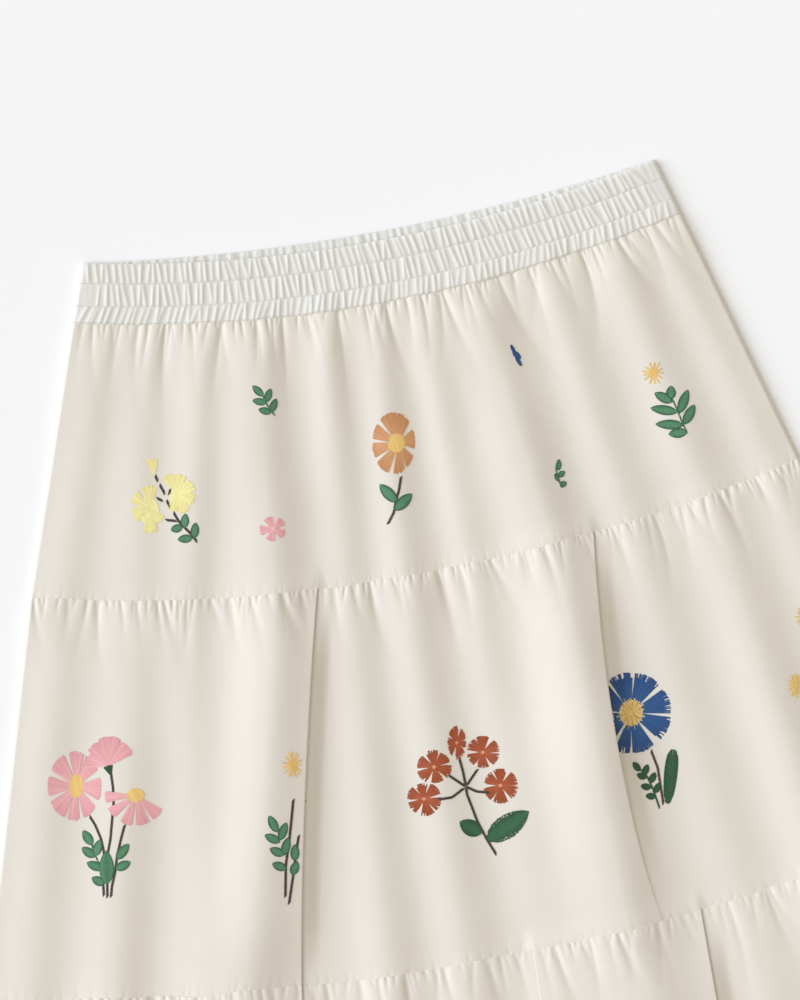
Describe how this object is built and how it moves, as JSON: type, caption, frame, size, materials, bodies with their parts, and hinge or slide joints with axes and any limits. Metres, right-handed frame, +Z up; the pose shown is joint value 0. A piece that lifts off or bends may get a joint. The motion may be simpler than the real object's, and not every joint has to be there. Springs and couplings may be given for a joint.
{
  "type": "tiered gathered maxi skirt",
  "caption": "Tiered, gathered maxi skirt with a shirred elastic waistband, laid flat on its back, for dressing a shop or wardrobe scene.",
  "frame": {"origin": "middle of the skirt's footprint, on the surface it lies on", "axes": "+Y from hem to waist, +X to the right as the front is seen, +Z up through the back and then the front"},
  "size_m": [0.76, 0.855, 0.0216],
  "materials": {
    "ivory_satin": "matt satin-weave polyester in warm ivory, embroidered with small flowers",
    "shirred_band": "the same satin shirred over elastic, looks a little cooler and greyer"
  },
  "bodies": {
    "root": {"waistband_front": "shirred_band", "waistband_back": "shirred_band", "tier1_front": "ivory_satin", "tier1_back": "ivory_satin", "tier2_front": "ivory_satin", "tier2_back": "ivory_satin", "tier3_front": "ivory_satin", "tier3_back": "ivory_satin"}
  },
  "joints": []
}
